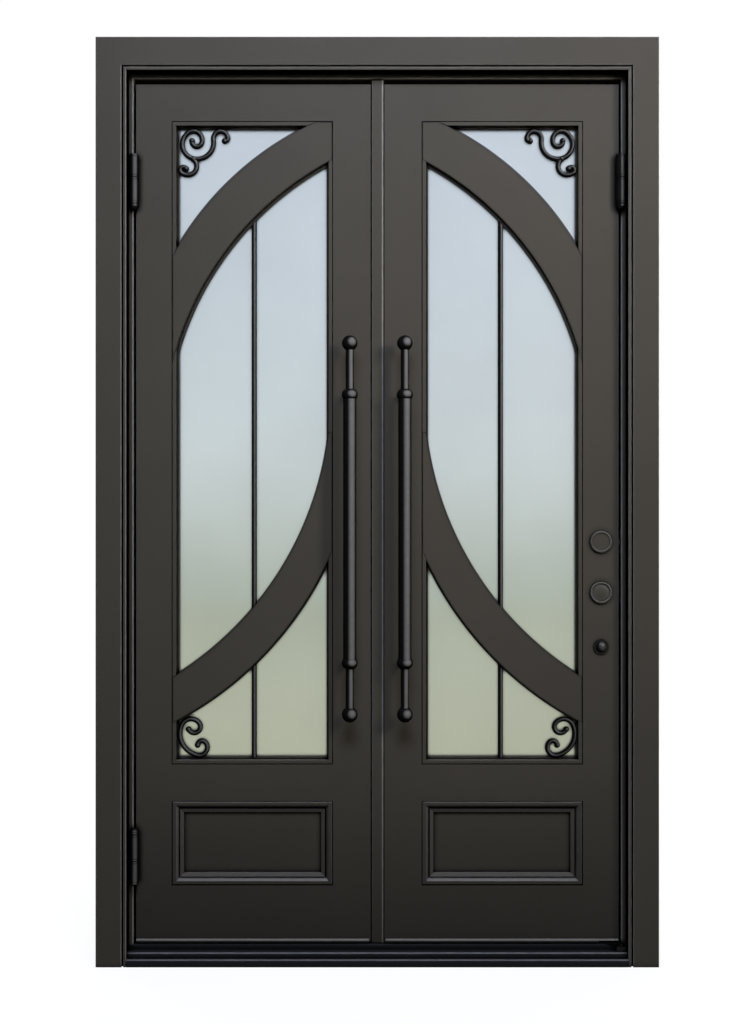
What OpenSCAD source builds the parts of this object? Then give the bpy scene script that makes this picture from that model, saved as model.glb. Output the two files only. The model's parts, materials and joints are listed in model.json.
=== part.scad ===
// A pair of glazed steel entry doors that swing outwards, with their frame.
// X runs along the doorway, Y runs from outside to inside, and Z is up.
// The origin is the middle of the underside of the threshold.
// Sizes of a leaf are given for the right-hand one, and the left-hand one is its mirror image.

/* [Frame] */
// Overall width across the jambs
frame_w = 1478; // [1470:1:1490]
// Overall height from the floor to the top of the head
frame_h = 2440; // [2430:1:2460]
// Depth from the outside face to the inside face
frame_depth = 140; // [140:1:170]
// Width of the flat outside face of a jamb
jamb_face_w = 68; // [64:1:72]
// Height of the flat outside face of the head
head_face_w = 74; // [70:1:80]
// Width of the quirk between the flat face and its bead
quirk_w = 4; // [2:0.2:5]
// Depth of that quirk
quirk_depth = 8; // [6:0.5:12]
// Width of the round bead at the edge of the reveal
bead_w = 8.4; // [6:0.2:10]
// Width of the step beside the leaf
strip_w = 12; // [10:0.5:14]
// How far the stop reaches behind the leaf
stop_cover = 18; // [14:1:22]
// Small chamfer on long edges
edge_chamfer = 2; // [1:0.1:2.5]

/* [Threshold] */
// Height of the lowest step
step_1_h = 20; // [14:1:24]
// Height of the middle step
step_2_h = 34; // [28:1:38]
// Height of the top under the leaves
step_3_h = 48; // [44:1:48]
// Chamfer on the nose of each step
step_nose = 3; // [1:0.5:4]
// Depth of the lowest step
step_1_depth = 14; // [10:1:20]
// Height of the upstand behind the leaves
upstand_h = 70; // [66:1:76]

/* [Leaves] */
// Thickness of a leaf
leaf_t = 50; // [48:1:52]
// Setback of the leaf face from the frame face
leaf_recess = 45; // [44:1:50]
// Gap between a leaf and its jamb
side_gap = 6.6; // [6:0.1:8]
// Gap between a leaf and the head
top_gap = 14.6; // [10:0.1:18]
// Height of the underside of a leaf above the floor
leaf_bottom = 56.5; // [55:0.5:60]
// Distance from the middle of the doorway to the outside edge of a leaf
meeting_x = 17.2; // [17:0.1:18]
// Bevel of the meeting edge from outside to inside
meeting_bevel = 3.4; // [3.2:0.1:3.8]
// Width of the hinge stile
hinge_stile_w = 94.5; // [90:0.5:100]
// Width of the meeting stile on its outside face
meeting_stile_w = 100.3; // [96:0.1:106]
// Height of the top rail
top_rail_h = 97; // [90:1:105]
// Height of the rail below the glass
lock_rail_h = 97; // [90:1:105]
// Height of the bottom rail
bottom_rail_h = 146; // [140:1:160]
// Height of the recessed bottom panel
panel_h = 224; // [200:1:240]
// Gap between the leaf and the stop that the weather seal fills
seal_gap = 5; // [4:0.5:7]

/* [Glazing] */
// Width of the flush part of the glazing bead
glazing_bead_w = 12; // [10:0.5:14]
// Width of the set-back lip of the glazing bead
glazing_lip_w = 5; // [4:0.5:6]
// Depth of the glazing bead and the bands
glazing_bead_depth = 22; // [20:1:24]
// Setback of the lip from the leaf face
lip_setback = 12; // [9:0.5:13]
// Thickness of the sealed glass unit
glass_t = 20; // [16:1:22]
// Width of the fine joint line round the glazing
joint_line_w = 2.4; // [1.2:0.1:2.6]
// Width of the upright bar
bar_w = 13; // [10:0.5:16]
// Distance of the upright bar from the middle of the doorway
bar_x = 328; // [320:1:340]

/* [Bands] */
// Radius of the outer edge of the upper band
upper_outer_r = 824; // [820:1:828]
// Radius of the inner edge of the upper band
upper_inner_r = 837; // [834:1:840]
// Width of the set-back step along the upper band
upper_step_w = 8.6; // [7:0.2:12]
// Radius of the upper edge of the lower band
lower_upper_r = 881.5; // [880:0.5:883]
// Radius of the lower edge of the lower band
lower_lower_r = 922; // [920:1:924]
// Width of the set-back step along the lower band
lower_step_w = 5.2; // [4:0.2:7]

/* [Scrolls] */
// Diameter of the scroll bar
scroll_bar_d = 13.4; // [12:0.2:14]
// Diameter of the ball at each scroll tip
scroll_tip_d = 16; // [15:0.2:17]

/* [Pulls] */
// Distance of a pull from the middle of the doorway
pull_x = 72; // [68:1:76]
// Height of the upper ball
pull_top_z = 1635; // [1600:5:1650]
// Height of the lower ball
pull_bottom_z = 664; // [640:1:700]
// Distance from a ball to the collar beside it
pull_collar_offset = 135; // [125:1:145]
// Diameter of the balls
pull_ball_d = 41; // [38:1:44]
// Diameter of the thick middle bar
pull_bar_d = 34.4; // [30:0.2:35]
// Diameter of the thin end bars
pull_end_d = 21.5; // [20:0.5:24]
// Distance from the leaf face to the axis of a pull
pull_standoff = 55; // [50:1:60]

/* [Hinges] */
// Diameter of the hinge barrel
barrel_d = 26; // [24:0.5:27]
// Diameter of the hinge pin
pin_d = 10; // [8:0.5:11]
// Length of the long knuckle with its finial
long_knuckle = 87; // [80:1:95]
// Length of the short knuckle
short_knuckle = 61; // [55:1:70]
// Height of the joint between the knuckles of an upper hinge
upper_hinge_z = 2077; // [2050:1:2090]
// Height of the joint between the knuckles of the lower hinge
lower_hinge_z = 272; // [265:1:300]

/* [Locks] */
// Distance of the locks from the middle of the doorway
lock_x = 593; // [590:1:594]
// Height of the upper lock
upper_lock_z = 1114; // [1100:1:1130]
// Height of the lower lock
lower_lock_z = 979.5; // [960:0.5:990]
// Height of the bell push
bell_z = 835; // [820:1:850]
// Diameter of a lock rose
rose_d = 57; // [52:0.5:58]
// Throw of a lock bolt
bolt_throw = 20; // [15:1:20]
// Travel of the bell button
bell_travel = 2.5; // [2:0.1:3]

/* [Hidden] */
$fn = 64;
big_fn = 720;
steel = [0.26, 0.25, 0.25];
dark_steel = [0.14, 0.14, 0.15];
sill_steel = [0.12, 0.13, 0.15];
seal_black = [0.05, 0.05, 0.05];
pin_steel = [0.45, 0.45, 0.46];
glass_tint = [0.78, 0.83, 0.86];

// Planes through the depth of the frame
face_y = -frame_depth / 2;
back_y = frame_depth / 2;
leaf_face_y = face_y + leaf_recess;
leaf_back_y = leaf_face_y + leaf_t;
stop_y = leaf_back_y + seal_gap;

// Edges of the frame, from the outside of the jamb towards the doorway
half_w = frame_w / 2;
jamb_face_x = half_w - jamb_face_w;
reveal_x = jamb_face_x - quirk_w - bead_w;
strip_x = reveal_x - strip_w;
leaf_out_x = strip_x - side_gap;
stop_x = leaf_out_x - stop_cover;
head_face_z = frame_h - head_face_w;
head_strip_z = head_face_z - quirk_w - bead_w - strip_w;
leaf_top = head_strip_z - top_gap;
head_stop_z = leaf_top - stop_cover;

// The glazed opening and the panel opening of a leaf
lite_x0 = meeting_x + meeting_stile_w;
lite_x1 = leaf_out_x - hinge_stile_w;
lite_w = lite_x1 - lite_x0;
panel_z0 = leaf_bottom + bottom_rail_h;
panel_z1 = panel_z0 + panel_h;
lite_z0 = panel_z1 + lock_rail_h;
lite_z1 = leaf_top - top_rail_h;
lite_h = lite_z1 - lite_z0;
lite_mid_x = (lite_x0 + lite_x1) / 2;
lite_mid_z = (lite_z0 + lite_z1) / 2;
panel_mid_z = (panel_z0 + panel_z1) / 2;
lip_inset = glazing_bead_w + glazing_lip_w;
glass_y = leaf_face_y + glazing_bead_depth;
glass_back_y = glass_y + glass_t;
glass_clearance = 2;
joint_line_depth = 4 * joint_line_w;

// Centres of the band edges, as [X, Z] from the lower corner of the glass beside the meeting stile
upper_outer_c = [lite_x0 - 299, lite_z0 + 956];
upper_inner_c = [lite_x0 - 386, lite_z0 + 863];
lower_upper_c = [lite_x0 + 888, lite_z0 + 981];
lower_lower_c = [lite_x0 + 850, lite_z0 + 929];
lower_band_top = lower_upper_c[1] - 100;
bar_top = upper_inner_c[1] + 650;
band_clearance = 0.8;

// Recessed panel and its mouldings
panel_setback = 17;
moulding_flat_w = 9;
moulding_round = 1.5;
moulding_slope_w = 8;
moulding_slope_depth = 11;
moulding_groove_w = 2.6;
moulding_groove_depth = 14;
moulding_band_w = 9.5;
moulding_band_depth = 6;
moulding_band_fall = 4;

// Scrolls as chains of tangent arcs, each given as [radius, turn]
upper_scroll_start = [139, lite_z1 - 49.8];
upper_scroll_heading = -9;
upper_scroll_arcs = [[7.5, 105], [19.5, 183], [44, -108], [38.5, -134], [23.5, -154], [13, -164]];
branch_start = [55.5, lite_z1 - 98];
branch_heading = -40;
branch_arcs = [[25, -50], [23, -90], [30, -35], [8.5, -205]];
lower_scroll_start = [43, lite_z0 + 91];
lower_scroll_heading = -66;
lower_scroll_arcs = [[16.5, 192], [27, 121.5], [58.5, 102], [21, 145], [11.5, 136]];
scroll_y = glass_y - scroll_bar_d / 2 - 1;
scroll_swell = 0.4;
scroll_trim = 0.4;

// Hinges and the bottom pivot
hinge_x = (leaf_out_x + strip_x) / 2;
barrel_clearance = 0.5;
hinge_y = leaf_face_y - barrel_d / 2 - barrel_clearance;
run_clearance = 0.05;
end_gap = 0.3;
wing_t = 3;
wing_depth = 35;
wing_back_y = leaf_face_y + wing_depth;
barrel_chamfer = 1;
groove_inset = 5;
groove_w = 1.8;
groove_depth = 1.4;
finial_neck_h = 2;
finial_neck_d = barrel_d - 4;
finial_ring_h = 4;
finial_ring_d = barrel_d;
finial_foot_h = 1.6;
finial_foot_d = barrel_d - 5;
finial_ball_d = barrel_d - 1;
finial_ball_lift = 3;
finial_len = finial_neck_h + finial_ring_h + finial_foot_h + finial_ball_d / 2 - finial_ball_lift;
pin_tip_gap = 5;
pivot_gap = 0.6;
pivot_arm_t = 4.8;
pivot_arm_z = step_3_h + pivot_gap;
pivot_arm_top = pivot_arm_z + pivot_arm_t;
pivot_nose_r = 8;
pivot_arm_len = 52;
pivot_x0 = leaf_out_x - pivot_arm_len;
pivot_arm_inset = 5;
pivot_block_half_w = 12;
pivot_block_front = 10;
pivot_block_drop = 1;
pivot_shoulder_d = 15;
pivot_shoulder_gap = 0.2;

// Drip lip and sweep
sweep_top = leaf_bottom + 5;
sweep_bottom = leaf_bottom - 3;
sweep_proud = 4;
sweep_back_y = 10;
sweep_end = 1;

// Astragal
astragal_groove = 3;
astragal_gap = 1.2;
astragal_left = meeting_x - astragal_groove;
astragal_right = meeting_x - astragal_gap;
astragal_fall_w = 4;
astragal_fall = 1.3;
astragal_stem_x = 8;
astragal_proud = 2;
astragal_back_y = leaf_face_y + 17;
astragal_stem_y = astragal_back_y + 10;
astragal_top = leaf_top + 10;
astragal_bottom = leaf_bottom - 4;

// Pulls
pull_y = leaf_face_y - pull_standoff;
pull_collar_d = 42;
pull_collar_r = 16.5;
post_d = 18;
post_rose_d = 28;
post_rose_t = 4;
pull_rod_d = 10;
pull_rod_depth = 20;
pull_rod_hole_d = pull_rod_d + 1;
pull_collars = [pull_bottom_z + pull_collar_offset, pull_top_z - pull_collar_offset];

// Locks
lock_barrel_d = 32;
socket_clearance = 0.2;
rose_t = 8;
rose_rim = 5.5;
rose_recess = 3;
rose_dome_r = 60;
rose_dome_margin = 2;
bolt_d = 16;
bolt_tail_x = lock_x + 18;
bolt_tip_x = leaf_out_x - 0.5;
strike_size = [2, 28, 60];
strike_hole_d = 18;
strike_spare = 7;
strike_depth = bolt_throw + strike_spare;
turn_shaft_d = 10;
turn_shaft_depth = 10;
turn_bore_depth = 12;
turn_gap = 2;
inner_rose_d = 50;
inner_rose_t = 6;
turn_size = [12, 12, 42];
bell_bezel_d = 38.5;
bell_bezel_t = 4;
bell_dome_d = 29;
bell_dome_r = 20;
bell_dome_h = 6;
bell_dome_gap = 1;
bell_pocket_d = 29.6;
bell_pocket_floor = 0.5;
bell_throat_d = 22.6;
bell_throat_depth = 1;
bell_stem_d = 12;
bell_body_d = 24;
bell_body_len = 30;
bell_body_gap = 2;
bell_stem_wall = 6;

// Threshold behind the leaves, and the weather seal
upstand_top_depth = 15;
inner_edge_drop = 8;
seal_w = 6;
seal_inset = 8;
seal_base_t = 2;
strip_chamfer = 3;
bead_setback = 0.6;

// Anchor holes through the jambs
anchor_d = 11;
anchor_y = 0;
anchor_zs = [160, 540, 1820, 2200];
cut = 1;

// Shared helpers

// Mirrors a right-hand shape for the left-hand leaf or jamb
module on_side(side) {
    if (side == "left") mirror([1, 0, 0]) children();
    else children();
}

// Stands an X-Z outline up and gives it depth from y0 to y1
module upright(y0, y1) {
    translate([0, y1, 0]) rotate([90, 0, 0]) linear_extrude(y1 - y0) children();
}

// A box between two corners
module box(low, high) {
    translate(low) cube(high - low);
}

// A round bar along Y
module along_y(x, z, y0, y1, d) {
    translate([x, y1, z]) rotate([90, 0, 0]) cylinder(h = y1 - y0, d = d);
}

// A round bar along X
module along_x(y, z, x0, x1, d) {
    translate([x0, y, z]) rotate([0, 90, 0]) cylinder(h = x1 - x0, d = d);
}

// One mitred side of a frame, lying along X at the bottom of a w by h rectangle.
// The child is its section, with X counted inwards from the rectangle's edge.
module frame_side(w, h) {
    reach = min(w, h) / 2;
    intersection() {
        translate([w / 2, 0, -h / 2]) rotate([0, -90, 0]) linear_extrude(w) children();
        upright(face_y, back_y) polygon([
            [-w / 2, -h / 2], [w / 2, -h / 2], [w / 2 - reach, reach - h / 2], [reach - w / 2, reach - h / 2]
        ]);
    }
}

// A rectangular frame with mitred corners, centred on the X-Z origin
module mitred_frame(w, h) {
    frame_side(w, h) children();
    mirror([0, 0, 1]) frame_side(w, h) children();
    rotate([0, 90, 0]) frame_side(h, w) children();
    mirror([1, 0, 0]) rotate([0, 90, 0]) frame_side(h, w) children();
}

// Frame

// Section of a jamb or the head, with X counted inwards from its outer edge
module frame_section(face_w, gap) {
    bead_c = face_w + quirk_w + bead_w / 2;
    reveal = face_w + quirk_w + bead_w;
    strip = reveal + strip_w;
    stop = strip + gap + stop_cover;
    bead_y = face_y + bead_w / 2 + bead_setback;
    polygon([
        [0, back_y], [0, face_y + edge_chamfer], [edge_chamfer, face_y], [face_w - edge_chamfer, face_y],
        [face_w, face_y + edge_chamfer], [face_w, face_y + quirk_depth],
        [face_w + quirk_w, face_y + quirk_depth], [face_w + quirk_w, bead_y], [reveal, bead_y],
        [reveal, leaf_face_y], [strip - strip_chamfer, leaf_face_y], [strip, leaf_face_y + strip_chamfer],
        [strip, stop_y], [stop, stop_y], [stop, back_y]
    ]);
    translate([bead_c, bead_y]) circle(d = bead_w);
}

// Corner line that the jamb and the head share, from the outer corner to the stop
corner_line = [
    [half_w, frame_h], [jamb_face_x, head_face_z], [strip_x, head_strip_z], [stop_x, head_stop_z]
];

module jamb(side) {
    color(steel) on_side(side) difference() {
        intersection() {
            translate([half_w, 0, 0]) mirror([1, 0, 0]) linear_extrude(frame_h)
                frame_section(jamb_face_w, side_gap);
            upright(face_y - cut, back_y + cut)
                polygon(concat([[stop_x, 0], [half_w, 0]], corner_line));
        }
        for (z = anchor_zs)
            along_x(anchor_y, z, strip_x - cut, half_w + cut, anchor_d);
        if (side == "right") for (z = [upper_lock_z, lower_lock_z]) strike_pocket(z);
    }
}

// Recess for a strike plate and the hole that the bolt enters
module strike_pocket(z) {
    along_x(0, z, strip_x - cut, strip_x + strike_depth, strike_hole_d);
    translate([strip_x + strike_size[0] / 2 - cut / 2, 0, z])
        cube(strike_size + [cut, 0, 0], center = true);
}

module head() {
    left_line = [for (p = corner_line) [-p[0], p[1]]];
    right_line = [for (i = [3 : -1 : 0]) corner_line[i]];
    color(steel) intersection() {
        translate([-half_w, 0, frame_h]) rotate([0, 90, 0]) linear_extrude(frame_w)
            frame_section(head_face_w, top_gap);
        upright(face_y - cut, back_y + cut) polygon(concat(left_line, right_line));
    }
}

// Section of the threshold, with X along the depth and Y up
module threshold_section() {
    nose = step_nose;
    top_y = leaf_face_y - astragal_proud;
    polygon([
        [face_y, 0], [face_y, step_1_h - nose], [face_y + nose, step_1_h],
        [face_y + step_1_depth, step_1_h], [face_y + step_1_depth, step_2_h - nose],
        [face_y + step_1_depth + nose, step_2_h], [top_y, step_2_h], [top_y, step_3_h - nose],
        [top_y + nose, step_3_h], [stop_y, step_3_h], [stop_y, upstand_h],
        [stop_y + upstand_top_depth, upstand_h], [back_y, step_3_h - inner_edge_drop], [back_y, 0]
    ]);
}

module threshold() {
    color(sill_steel) {
        threshold_zone(face_y, leaf_face_y, reveal_x);
        threshold_zone(leaf_face_y, stop_y, strip_x);
        threshold_zone(stop_y, back_y, stop_x);
    }
}

// A stretch of the threshold's depth, cut to fit between the jambs there
module threshold_zone(y0, y1, half_len) {
    translate([-half_len, 0, 0]) rotate([90, 0, 90]) linear_extrude(2 * half_len) intersection() {
        threshold_section();
        translate([y0, 0]) square([y1 - y0, upstand_h]);
    }
}

// Weather seal on the stop, all round behind the leaves
module frame_seal() {
    x = leaf_out_x - seal_inset;
    z0 = leaf_bottom + seal_inset;
    z1 = leaf_top - seal_inset;
    color(seal_black) translate([0, 0, (z0 + z1) / 2]) mitred_frame(2 * x, z1 - z0) polygon([
        [0, stop_y], [0, stop_y - seal_base_t], [seal_w / 2, leaf_back_y + end_gap],
        [seal_w, stop_y - seal_base_t], [seal_w, stop_y]
    ]);
}

// Hinges

// A turned barrel with a groove near each end
module barrel(h) {
    r = barrel_d / 2;
    c = barrel_chamfer;
    floor_r = r - groove_depth;
    g0 = groove_inset;
    g1 = groove_inset + groove_w;
    rotate_extrude() polygon([
        [0, 0], [r - c, 0], [r, c], [r, g0], [floor_r, g0], [floor_r, g1], [r, g1],
        [r, h - g1], [floor_r, h - g1], [floor_r, h - g0], [r, h - g0], [r, h - c], [r - c, h], [0, h]
    ]);
}

// A hinge knuckle between two heights, with a wing in the gap from x0 to x1
module knuckle(z0, z1, x0, x1, bore_z0, bore_z1) {
    difference() {
        union() {
            translate([hinge_x, hinge_y, z0]) barrel(z1 - z0);
            box([x0, hinge_y, z0], [x1, wing_back_y, z1]);
        }
        translate([hinge_x, hinge_y, bore_z0])
            cylinder(h = bore_z1 - bore_z0, d = pin_d + 2 * run_clearance);
    }
}

module frame_knuckle_low_finial() {
    z0 = upper_hinge_z - long_knuckle + finial_len;
    knuckle(z0, upper_hinge_z, strip_x - wing_t, strip_x, z0 - cut, upper_hinge_z + cut);
}

module frame_knuckle_high_finial() {
    z0 = lower_hinge_z - short_knuckle;
    knuckle(z0, lower_hinge_z, strip_x - wing_t, strip_x, z0 + pin_tip_gap, lower_hinge_z + cut);
}

module frame_knuckles() {
    color(dark_steel) {
        for (side = ["left", "right"]) on_side(side) frame_knuckle_low_finial();
        on_side("left") frame_knuckle_high_finial();
    }
}

module upper_leaf_knuckle() {
    z0 = upper_hinge_z + end_gap;
    z1 = upper_hinge_z + short_knuckle;
    knuckle(z0, z1, leaf_out_x, leaf_out_x + wing_t, z0 - cut, z1 - pin_tip_gap);
}

module lower_leaf_knuckle() {
    z0 = lower_hinge_z + end_gap;
    z1 = lower_hinge_z + long_knuckle - finial_len;
    knuckle(z0, z1, leaf_out_x, leaf_out_x + wing_t, z0 - cut, z1 + cut);
}

module left_leaf_knuckles() {
    color(dark_steel) on_side("left") {
        upper_leaf_knuckle();
        lower_leaf_knuckle();
    }
}

module right_leaf_knuckle() {
    color(dark_steel) upper_leaf_knuckle();
}

// A pin that stands on its finial, with the finial's shoulder at height 0
module finial_pin(pin_len) {
    ring_z = -finial_neck_h - finial_ring_h;
    foot_z = ring_z - finial_foot_h;
    cylinder(h = pin_len, d = pin_d);
    translate([0, 0, -finial_neck_h]) cylinder(h = finial_neck_h, d = finial_neck_d);
    translate([0, 0, ring_z]) cylinder(h = finial_ring_h, d = finial_ring_d);
    translate([0, 0, foot_z]) cylinder(h = finial_foot_h, d = finial_foot_d);
    translate([0, 0, foot_z]) intersection() {
        translate([0, 0, finial_ball_lift]) sphere(d = finial_ball_d);
        translate([0, 0, -finial_ball_d]) cylinder(h = finial_ball_d, d = 2 * finial_ball_d);
    }
}

module hinge_pins() {
    shoulder = long_knuckle - finial_len;
    pin_len = shoulder + short_knuckle - 2 * pin_tip_gap;
    color(dark_steel) {
        for (side = ["left", "right"]) on_side(side)
            translate([hinge_x, hinge_y, upper_hinge_z - shoulder]) finial_pin(pin_len);
        on_side("left") translate([hinge_x, hinge_y, lower_hinge_z + shoulder + end_gap])
            mirror([0, 0, 1]) finial_pin(shoulder + end_gap + short_knuckle - pin_tip_gap);
    }
}

// Block on the threshold that carries the foot of the right leaf
module pivot_block() {
    shoulder_h = pivot_arm_z - step_2_h - pivot_shoulder_gap;
    color(dark_steel) union() {
        box([hinge_x - pivot_block_half_w, hinge_y - pivot_block_front, step_2_h],
            [hinge_x + pivot_block_half_w, leaf_face_y - astragal_proud, step_3_h - pivot_block_drop]);
        translate([hinge_x, hinge_y, step_2_h]) cylinder(h = shoulder_h, d = pivot_shoulder_d);
        translate([hinge_x, hinge_y, step_2_h]) cylinder(h = pivot_arm_top - step_2_h, d = pin_d);
    }
}

// Plate under the right leaf that turns on the pivot block
module pivot_arm() {
    y0 = leaf_face_y + pivot_arm_inset;
    y1 = leaf_back_y - pivot_arm_inset;
    color(dark_steel) difference() {
        union() {
            translate([0, 0, pivot_arm_z]) linear_extrude(pivot_arm_top - pivot_arm_z) {
                polygon([
                    [pivot_x0, y0], [hinge_x - pivot_nose_r, hinge_y],
                    [hinge_x, hinge_y - pivot_nose_r], [hinge_x + pivot_nose_r, hinge_y],
                    [leaf_out_x, y0], [leaf_out_x, y1], [pivot_x0, y1]
                ]);
                translate([hinge_x, hinge_y]) circle(r = pivot_nose_r);
            }
            box([pivot_x0, y0, pivot_arm_z], [leaf_out_x, y1, leaf_bottom]);
        }
        translate([hinge_x, hinge_y, 0]) cylinder(h = leaf_bottom, d = pin_d + 2 * run_clearance);
    }
}

module strike_plates() {
    color(pin_steel) for (z = [upper_lock_z, lower_lock_z]) difference() {
        translate([strip_x + strike_size[0] / 2, 0, z]) cube(strike_size, center = true);
        along_x(0, z, strip_x - cut, strip_x + strike_size[0] + cut, strike_hole_d);
    }
}

// Leaf tubes

module hinge_stile(side) {
    c = edge_chamfer;
    color(steel) on_side(side) difference() {
        translate([0, 0, leaf_bottom]) linear_extrude(leaf_top - leaf_bottom) polygon([
            [lite_x1, leaf_face_y], [leaf_out_x - c, leaf_face_y], [leaf_out_x, leaf_face_y + c],
            [leaf_out_x, leaf_back_y - c], [leaf_out_x - c, leaf_back_y], [lite_x1, leaf_back_y]
        ]);
        if (side == "right") lock_bores();
    }
}

// Holes for the lock barrels, the bolts and the bell push
module lock_bores() {
    for (z = [upper_lock_z, lower_lock_z]) {
        along_y(lock_x, z, leaf_face_y - cut, leaf_back_y + cut, lock_barrel_d + socket_clearance);
        along_x(0, z, lock_x, leaf_out_x + cut, bolt_d + 2 * run_clearance);
    }
    along_y(
        lock_x, bell_z, leaf_face_y - cut, leaf_face_y + bell_body_len, bell_body_d + socket_clearance);
}

// Distance of the bevelled meeting edge from the middle of the doorway at a given depth
function meeting_edge(y) = meeting_x + meeting_bevel * (y - leaf_face_y) / leaf_t;

module meeting_stile(side) {
    c = edge_chamfer;
    color(steel) on_side(side) difference() {
        translate([0, 0, leaf_bottom]) linear_extrude(leaf_top - leaf_bottom) polygon([
            [meeting_edge(leaf_face_y) + c, leaf_face_y], [lite_x0, leaf_face_y], [lite_x0, leaf_back_y],
            [meeting_edge(leaf_back_y), leaf_back_y], [meeting_edge(leaf_face_y + c), leaf_face_y + c]
        ]);
        for (z = pull_collars)
            along_y(pull_x, z, leaf_face_y - cut, leaf_back_y + cut, pull_rod_hole_d);
    }
}

module rail(side, z0, z1) {
    color(steel) on_side(side)
        box([lite_x0, leaf_face_y, z0], [lite_x1, leaf_back_y, z1]);
}

// Glazing

module lite_rect(inset) {
    translate([lite_x0 + inset, lite_z0 + inset]) square([lite_w - 2 * inset, lite_h - 2 * inset]);
}

module disc(centre, r) {
    translate(centre) circle(r = r, $fn = big_fn);
}

// Everything above or below a height, as wide as the glazed opening
module above(z) {
    translate([lite_x0, z]) square([lite_w, lite_z1 - z]);
}

module below(z) {
    translate([lite_x0, lite_z0]) square([lite_w, z - lite_z0]);
}

module upper_band_outline(grow) {
    intersection() {
        above(upper_inner_c[1]);
        difference() {
            disc(upper_outer_c, upper_outer_r + grow);
            disc(upper_inner_c, upper_inner_r - grow);
        }
    }
}

module upper_step_outline() {
    intersection() {
        lite_rect(lip_inset);
        above(upper_inner_c[1]);
        difference() {
            disc(upper_inner_c, upper_inner_r);
            disc(upper_inner_c, upper_inner_r - upper_step_w);
        }
    }
}

module lower_band_outline(grow) {
    intersection() {
        below(lower_band_top + grow);
        difference() {
            disc(lower_lower_c, lower_lower_r + grow);
            disc(lower_upper_c, lower_upper_r - grow);
        }
    }
}

module lower_step_outline() {
    intersection() {
        lite_rect(lip_inset);
        below(lower_band_top);
        difference() {
            disc(lower_lower_c, lower_lower_r + lower_step_w);
            disc(lower_lower_c, lower_lower_r);
        }
    }
}

// Fine joint line round the glazed opening, cut into the flush faces
module joint_line() {
    upright(leaf_face_y - cut, leaf_face_y + joint_line_depth) difference() {
        lite_rect(-cut);
        lite_rect(joint_line_w);
    }
}

module upper_band(side) {
    color(steel) on_side(side) union() {
        difference() {
            upright(leaf_face_y, glass_y) upper_band_outline(0);
            joint_line();
        }
        upright(leaf_face_y + lip_setback, glass_y) upper_step_outline();
    }
}

module lower_band(side) {
    color(steel) on_side(side) union() {
        difference() {
            upright(leaf_face_y, glass_y) lower_band_outline(0);
            joint_line();
        }
        upright(leaf_face_y + lip_setback, glass_y) lower_step_outline();
    }
}

module glazing_bead(side) {
    c = 1;
    line_y = leaf_face_y + joint_line_depth;
    lip_y = leaf_face_y + lip_setback;
    color(steel) on_side(side) difference() {
        translate([lite_mid_x, 0, lite_mid_z]) mitred_frame(lite_w, lite_h) polygon([
            [0, glass_y], [0, line_y], [joint_line_w, line_y], [joint_line_w, leaf_face_y],
            [glazing_bead_w - c, leaf_face_y], [glazing_bead_w, leaf_face_y + c], [glazing_bead_w, lip_y],
            [lip_inset, lip_y], [lip_inset, glass_y]
        ]);
        upright(leaf_face_y - cut, glass_y + cut) {
            upper_band_outline(band_clearance);
            lower_band_outline(band_clearance);
        }
    }
}

module glazing_bar(side) {
    color(dark_steel) on_side(side) difference() {
        translate([bar_x, 0, lite_z0 + lip_inset]) linear_extrude(bar_top - lite_z0 - lip_inset) {
            translate([0, glass_y - bar_w / 2]) circle(d = bar_w);
            translate([-bar_w / 2, glass_y - bar_w / 2]) square([bar_w, bar_w / 2]);
        }
        upright(leaf_face_y - cut, glass_y + cut) {
            upper_band_outline(0);
            upper_step_outline();
            lower_band_outline(0);
            lower_step_outline();
        }
    }
}

module glass(side) {
    color(glass_tint) on_side(side) upright(glass_y, glass_back_y) lite_rect(glass_clearance);
}

module inside_stop(side) {
    stop_w = 18;
    c = 4;
    color(steel) on_side(side) translate([lite_mid_x, 0, lite_mid_z]) mitred_frame(lite_w, lite_h) polygon([
        [0, leaf_back_y], [stop_w - c, leaf_back_y], [stop_w, leaf_back_y - c],
        [stop_w, glass_back_y], [0, glass_back_y]
    ]);
}

// Scrolls

// Where a chain of tangent arcs stands before arc i, as [X, Z, heading]
function arc_start(start, heading, arcs, i) =
    i == 0 ? [start[0], start[1], heading] : arc_end(arc_start(start, heading, arcs, i - 1), arcs[i - 1]);

function arc_end(from, arc) =
    let (c = arc_centre(from, arc), s = sign(arc[1]), h = from[2] + arc[1])
    [c[0] + s * arc[0] * sin(h), c[1] - s * arc[0] * cos(h), h];

function arc_centre(from, arc) =
    let (s = sign(arc[1]))
    [from[0] - s * arc[0] * sin(from[2]), from[1] + s * arc[0] * cos(from[2])];

// A round bar bent along a chain of arcs in the X-Z plane.
// It swells a little where one arc runs into the next, and has a ball at each end.
module bent_bar(start, heading, arcs) {
    count = len(arcs);
    for (i = [0 : count - 1]) {
        from = arc_start(start, heading, arcs, i);
        centre = arc_centre(from, arcs[i]);
        trim = scroll_trim / arcs[i][0] * 180 / PI;
        first_angle = arcs[i][1] > 0 ? from[2] - 90 : from[2] + 90 + arcs[i][1];
        translate([centre[0], 0, centre[1]]) rotate([90, 0, 0]) rotate([0, 0, first_angle + trim])
            rotate_extrude(angle = abs(arcs[i][1]) - 2 * trim) translate([arcs[i][0], 0])
                circle(d = scroll_bar_d);
    }
    for (i = [0 : count]) {
        at = arc_start(start, heading, arcs, i);
        translate([at[0], 0, at[1]])
            sphere(d = i == 0 || i == count ? scroll_tip_d : scroll_bar_d + scroll_swell);
    }
}

// Places a scroll by its distance from the hinge side, trimmed flat where it meets the glazing lip
module scroll_place(side) {
    on_side(side) intersection() {
        translate([lite_x1, scroll_y, 0]) mirror([1, 0, 0]) children();
        upright(leaf_face_y, glass_y - end_gap) lite_rect(lip_inset);
    }
}

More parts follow.
